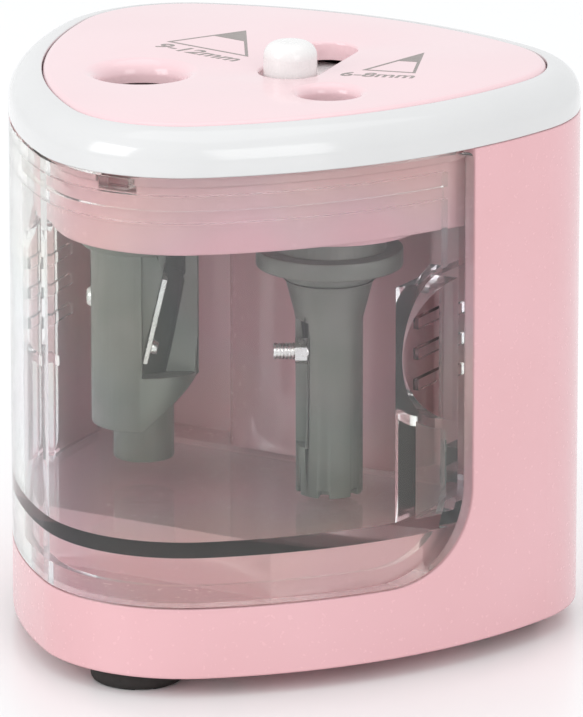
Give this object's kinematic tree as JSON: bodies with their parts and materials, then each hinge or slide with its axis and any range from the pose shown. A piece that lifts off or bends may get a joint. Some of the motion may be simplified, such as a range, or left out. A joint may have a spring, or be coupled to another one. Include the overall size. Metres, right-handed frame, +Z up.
{
  "type": "pencil sharpener",
  "caption": "Battery pencil sharpener with a rounded triangular case, clear waste drawer, pencil holes in the top and a selector slider.",
  "frame": {"origin": "on the standing surface, under the middle of the case", "axes": "+Z up, -Y towards the drawer front, +X to the right seen from the front"},
  "size_m": [0.093, 0.0912, 0.0964],
  "materials": {
    "pink_shell": "satin",
    "pale_plate": "satin",
    "white_trim": "gloss",
    "clear_drawer": "clear gloss",
    "cutter_metal": "satin",
    "bright_steel": "satin",
    "gear_nylon": "matte",
    "black_plastic": "matte",
    "black_rubber": "matte",
    "brass_parts": "satin",
    "copper_rotor": "satin",
    "cell_wrap": "gloss",
    "magnet_grey": "matte",
    "red_plunger": "gloss"
  },
  "bodies": {
    "housing": {"main_housing": "pink_shell", "base_plate": "pink_shell", "battery_cells": "cell_wrap", "battery_springs": "bright_steel", "battery_contacts": "bright_steel", "rubber_feet": "black_rubber", "base_screws": "bright_steel", "head_housing": "pink_shell", "head_screws": "bright_steel", "gear_cover": "white_trim", "cover_screws": "bright_steel", "trim_ring": "white_trim", "top_plate": "pale_plate", "gear_axles": "bright_steel", "motor_can": "bright_steel", "motor_magnets": "magnet_grey", "motor_end_cap": "black_plastic", "motor_terminals": "brass_parts", "motor_screws": "bright_steel", "drawer_switch": "black_plastic"},
    "drawer": {"drawer": "clear_drawer"},
    "selector": {"selector_slider": "white_trim"},
    "battery_door": {"battery_door": "pink_shell"},
    "large_cutter": {"large_cutter_gear": "gear_nylon", "large_cutter_holder": "cutter_metal", "large_cutter_blade": "bright_steel", "large_cutter_screws": "bright_steel"},
    "small_cutter": {"small_cutter_gear": "gear_nylon", "small_cutter_holder": "cutter_metal", "small_cutter_blade": "bright_steel", "small_cutter_screw": "bright_steel", "small_cutter_nut": "bright_steel"},
    "idler": {"idler_gear": "gear_nylon"},
    "compound": {"compound_gear": "gear_nylon"},
    "rotor": {"motor_rotor": "copper_rotor", "motor_pinion": "brass_parts"},
    "plunger": {"switch_plunger": "red_plunger"}
  },
  "joints": [
    {"name": "drawer_slide", "type": "slide", "parent": "housing", "child": "drawer", "axis": [0, -1, 0], "range_m": [0, 0.06]},
    {"name": "selector_slide", "type": "slide", "parent": "housing", "child": "selector", "axis": [-0.1419, 0.9899, 0], "range_m": [0, 0.015]},
    {"name": "battery_door_hinge", "type": "hinge", "parent": "housing", "child": "battery_door", "pos_m": [0, -0.0173, 0.0042], "axis": [-1, 0, 0], "range_deg": [0, 80]},
    {"name": "large_cutter_spin", "type": "hinge", "parent": "housing", "child": "large_cutter", "pos_m": [-0.014, -0.0113, 0.05], "axis": [0, 0, 1], "continuous": true},
    {"name": "small_cutter_spin", "type": "hinge", "parent": "housing", "child": "small_cutter", "pos_m": [0.0185, -0.0082, 0.05], "axis": [0, 0, 1], "continuous": true},
    {"name": "idler_spin", "type": "hinge", "parent": "housing", "child": "idler", "pos_m": [0.00115, 0.00175, 0.075], "axis": [0, 0, 1], "continuous": true},
    {"name": "compound_spin", "type": "hinge", "parent": "housing", "child": "compound", "pos_m": [-0.00002, 0.0145, 0.077], "axis": [0, 0, 1], "continuous": true},
    {"name": "motor_spin", "type": "hinge", "parent": "housing", "child": "rotor", "pos_m": [0, 0.0275, 0.05], "axis": [0, 0, 1], "continuous": true},
    {"name": "plunger_travel", "type": "slide", "parent": "housing", "child": "plunger", "axis": [0, 1, 0], "range_m": [0, 0.0012], "stiffness_N_per_m": 60}
  ],
  "couplings": [
    {"joint": "small_cutter_spin", "follows": "large_cutter_spin", "ratio": 1},
    {"joint": "idler_spin", "follows": "large_cutter_spin", "ratio": -1.5},
    {"joint": "compound_spin", "follows": "large_cutter_spin", "ratio": 2.5},
    {"joint": "motor_spin", "follows": "large_cutter_spin", "ratio": -10.5}
  ]
}
